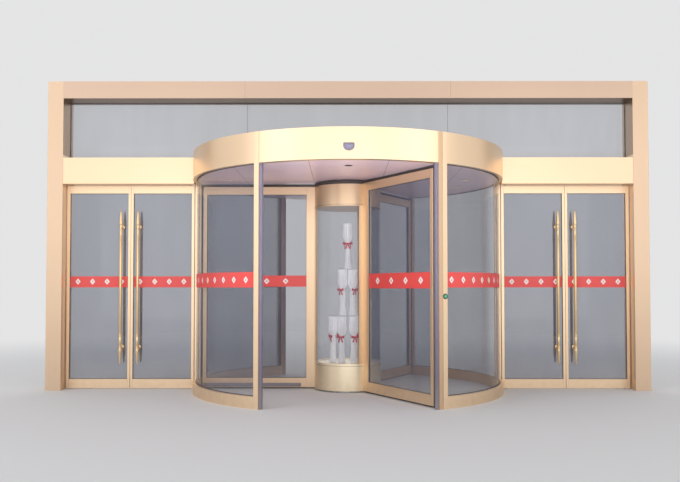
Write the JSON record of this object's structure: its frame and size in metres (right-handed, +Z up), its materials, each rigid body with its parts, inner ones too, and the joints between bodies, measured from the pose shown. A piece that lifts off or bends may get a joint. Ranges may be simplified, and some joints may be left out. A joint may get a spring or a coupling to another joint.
{
  "type": "revolving door entrance screen",
  "caption": "Round glazed drum with a turning winged rotor round a showcase column, set in a gold metal screen with a glass transom and swinging side doors.",
  "frame": {"origin": "on the floor at the drum's centre, midway between the outer faces of the jambs", "axes": "+X to the right seen from the street, +Y into the building, +Z up the rotor's axis"},
  "size_m": [7, 3.6804, 3.6],
  "materials": {
    "gold_frame": "satin champagne gold anodised",
    "handle_gold": "polished",
    "clear_glass": "clear, reflective",
    "ceiling_panel": "satin",
    "roof_sheet": "mill",
    "light_lens": "lens",
    "dark_plastic": "gloss",
    "edge_rubber": "matt",
    "bearing_steel": "brushed",
    "button_plastic": "gloss",
    "brush_seal": "matt",
    "display_white": "translucent"
  },
  "bodies": {
    "screen": {"jambs": "gold_frame", "head_beam": "gold_frame", "side_headers": "gold_frame", "transom_sills": "gold_frame", "transom_glass": "clear_glass", "canopy_front": "gold_frame", "canopy_rear": "gold_frame", "canopy_sides": "gold_frame", "canopy_roof": "roof_sheet", "drum_ceiling": "ceiling_panel", "ceiling_lights": "light_lens", "sensors": "dark_plastic", "front_posts": "gold_frame", "rear_posts": "gold_frame", "safety_edges": "edge_rubber", "mullions": "gold_frame", "drum_glass": "clear_glass", "base_rails": "gold_frame", "floor_bearing": "bearing_steel", "leaf_pivots": "bearing_steel", "push_button": "button_plastic"},
    "rotor": {"column_base": "gold_frame", "column_head": "gold_frame", "rotor_shaft": "bearing_steel", "column_brush": "brush_seal", "column_posts": "gold_frame", "column_glass": "clear_glass", "display": "display_white", "wing_1_frame": "gold_frame", "wing_2_frame": "gold_frame", "wing_3_frame": "gold_frame", "wing_glass": "clear_glass", "wing_seals": "brush_seal"},
    "outer_left_leaf": {"outer_left_leaf_frame": "gold_frame", "outer_left_leaf_glass": "clear_glass", "outer_left_leaf_handles": "handle_gold"},
    "inner_left_leaf": {"inner_left_leaf_frame": "gold_frame", "inner_left_leaf_glass": "clear_glass", "inner_left_leaf_handles": "handle_gold"},
    "inner_right_leaf": {"inner_right_leaf_frame": "gold_frame", "inner_right_leaf_glass": "clear_glass", "inner_right_leaf_handles": "handle_gold"},
    "outer_right_leaf": {"outer_right_leaf_frame": "gold_frame", "outer_right_leaf_glass": "clear_glass", "outer_right_leaf_handles": "handle_gold"}
  },
  "joints": [
    {"name": "rotor_spin", "type": "hinge", "parent": "screen", "child": "rotor", "pos_m": [0, 0, 0], "axis": [0, 0, 1], "continuous": true},
    {"name": "outer_left_swing", "type": "hinge", "parent": "screen", "child": "outer_left_leaf", "pos_m": [-3.254, 0, 0], "axis": [0, 0, -1], "range_deg": [-90, 90]},
    {"name": "inner_left_swing", "type": "hinge", "parent": "screen", "child": "inner_left_leaf", "pos_m": [-1.866, 0, 0], "axis": [0, 0, 1], "range_deg": [-90, 90]},
    {"name": "inner_right_swing", "type": "hinge", "parent": "screen", "child": "inner_right_leaf", "pos_m": [1.866, 0, 0], "axis": [0, 0, -1], "range_deg": [-90, 90]},
    {"name": "outer_right_swing", "type": "hinge", "parent": "screen", "child": "outer_right_leaf", "pos_m": [3.254, 0, 0], "axis": [0, 0, 1], "range_deg": [-90, 90]}
  ]
}
